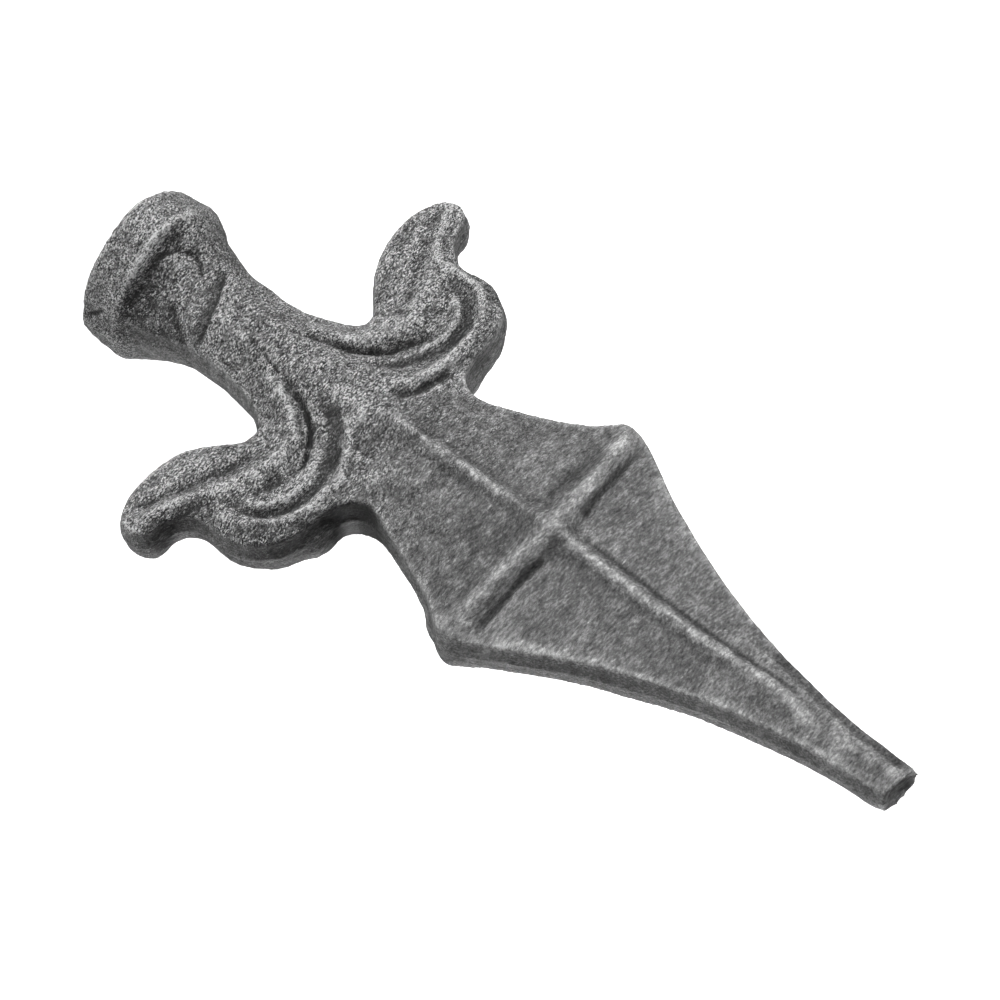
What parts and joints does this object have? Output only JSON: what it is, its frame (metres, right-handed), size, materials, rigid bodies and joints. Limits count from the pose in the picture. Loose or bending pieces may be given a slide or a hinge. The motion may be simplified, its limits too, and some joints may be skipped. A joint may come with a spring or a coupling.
{
  "type": "fence finial",
  "caption": "Forged spearhead finial with a round flared foot, two side scrolls with curled leaves, and a ribbed blade that tapers to a blunt tip.",
  "frame": {"origin": "centre of the foot's flat end face", "axes": "+Z from the foot to the tip, X across the side scrolls, the front face toward -Y"},
  "size_m": [0.067, 0.0228, 0.13],
  "materials": {
    "iron": "matte dark grey as-forged scale with a fine rough grain"
  },
  "bodies": {
    "root": {"finial": "iron"}
  },
  "joints": []
}
